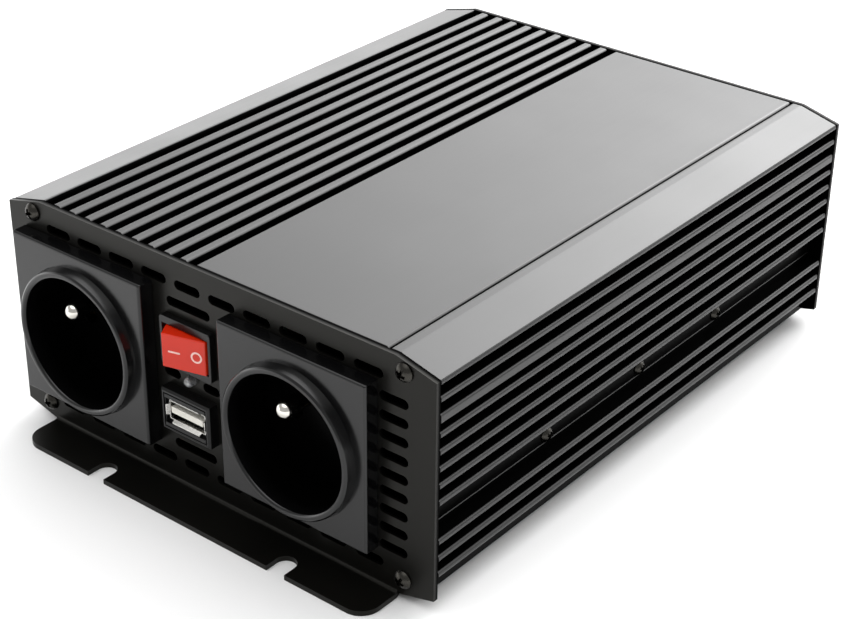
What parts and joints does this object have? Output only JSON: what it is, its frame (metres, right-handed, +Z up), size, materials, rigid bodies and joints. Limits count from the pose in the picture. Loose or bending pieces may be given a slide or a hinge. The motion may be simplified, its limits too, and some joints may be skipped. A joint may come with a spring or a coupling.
{
  "type": "power inverter",
  "caption": "Finned metal power inverter with round mains sockets, rocker switch, USB outlet, rear fan and screw-down battery terminals on a flanged case.",
  "frame": {"origin": "middle of the underside of the whole box, level with the underside of the flanges", "axes": "+X to the right seen from the socket side, +Y from the socket panel to the terminal panel, +Z up"},
  "size_m": [0.15, 0.2354, 0.0708],
  "materials": {
    "anodised_case": "satin black anodised extrusion",
    "panel_paint": "satin dark grey powder coat",
    "dark_screw": "nickel plated",
    "socket_plastic": "satin black moulding",
    "nickel_plate": "bright nickel",
    "brass": "turned",
    "spring_steel": "plain",
    "switch_black": "fine satin",
    "rocker_red": "gloss",
    "tin_plate": "bright",
    "lamp_clear": "clear epoxy",
    "usb_white": "satin",
    "board_green": "solder mask",
    "fan_black": "satin",
    "red_plastic": "satin",
    "black_plastic": "satin",
    "ferrite": "sintered",
    "winding_tape": "polyester tape",
    "capacitor_sleeve": "shrink sleeve",
    "copper_wire": "enamelled copper",
    "fuse_plastic": "translucent",
    "chip_black": "epoxy",
    "pad_grey": "silicone",
    "wire_brown": "sleeving",
    "wire_green_yellow": "sleeving",
    "wire_white": "sleeving"
  },
  "bodies": {
    "case": {"top_cover": "anodised_case", "bottom_tray": "anodised_case", "front_panel": "panel_paint", "rear_panel": "panel_paint", "front_panel_screws": "dark_screw", "rear_panel_screws": "dark_screw", "left_socket_housing": "socket_plastic", "right_socket_housing": "socket_plastic", "left_socket_back": "socket_plastic", "right_socket_back": "socket_plastic", "left_earth_pin": "nickel_plate", "right_earth_pin": "nickel_plate", "left_socket_contacts": "brass", "right_socket_contacts": "brass", "left_retaining_ring": "spring_steel", "right_retaining_ring": "spring_steel", "switch_body": "switch_black", "switch_terminals": "tin_plate", "status_lamp": "lamp_clear", "lamp_leads": "tin_plate", "usb_bezel": "switch_black", "usb_shell": "tin_plate", "usb_tongue": "usb_white", "usb_board": "board_green", "fan_frame": "fan_black", "fan_screws": "dark_screw", "red_terminal_base": "red_plastic", "black_terminal_base": "black_plastic", "red_terminal_stud": "brass", "black_terminal_stud": "brass", "terminal_nuts": "brass", "earth_terminal": "nickel_plate", "main_board": "board_green", "transformer_cores": "ferrite", "transformer_windings": "winding_tape", "input_capacitors": "capacitor_sleeve", "output_capacitors": "capacitor_sleeve", "output_choke": "copper_wire", "blade_fuses": "fuse_plastic", "control_board": "board_green", "left_transistors": "chip_black", "right_transistors": "chip_black", "left_insulating_pads": "pad_grey", "right_insulating_pads": "pad_grey", "left_clamp_bar": "spring_steel", "right_clamp_bar": "spring_steel", "left_clamp_screws": "dark_screw", "right_clamp_screws": "dark_screw", "red_battery_lead": "red_plastic", "black_battery_lead": "black_plastic", "mains_wiring": "wire_brown", "earth_wiring": "wire_green_yellow", "signal_wiring": "wire_white"},
    "rocker": {"switch_rocker": "rocker_red"},
    "rotor": {"fan_rotor": "fan_black"},
    "red_ring": {"red_washer": "brass"},
    "black_ring": {"black_washer": "brass"},
    "red_cap": {"red_knob": "red_plastic"},
    "black_cap": {"black_knob": "black_plastic"}
  },
  "joints": [
    {"name": "switch_rock", "type": "hinge", "parent": "case", "child": "rocker", "pos_m": [-0.0068, -0.1027, 0.0468], "axis": [0, 0, 1], "range_deg": [-31, 0]},
    {"name": "fan_spin", "type": "hinge", "parent": "case", "child": "rotor", "pos_m": [-0.032, 0.07975, 0.0352], "axis": [0, 1, 0], "continuous": true},
    {"name": "red_washer_slide", "type": "slide", "parent": "case", "child": "red_ring", "axis": [0, 1, 0], "range_m": [0, 0.005]},
    {"name": "red_knob_turn", "type": "hinge", "parent": "red_ring", "child": "red_cap", "pos_m": [0.024, 0.10525, 0.03615], "axis": [0, 1, 0], "range_deg": [0, 1445]},
    {"name": "black_washer_slide", "type": "slide", "parent": "case", "child": "black_ring", "axis": [0, 1, 0], "range_m": [0, 0.005]},
    {"name": "black_knob_turn", "type": "hinge", "parent": "black_ring", "child": "black_cap", "pos_m": [0.052, 0.10525, 0.03615], "axis": [0, 1, 0], "range_deg": [0, 1445]}
  ],
  "couplings": [
    {"joint": "red_knob_turn", "follows": "red_washer_slide", "rad_per_m": 5026.5},
    {"joint": "black_knob_turn", "follows": "black_washer_slide", "rad_per_m": 5026.5}
  ]
}
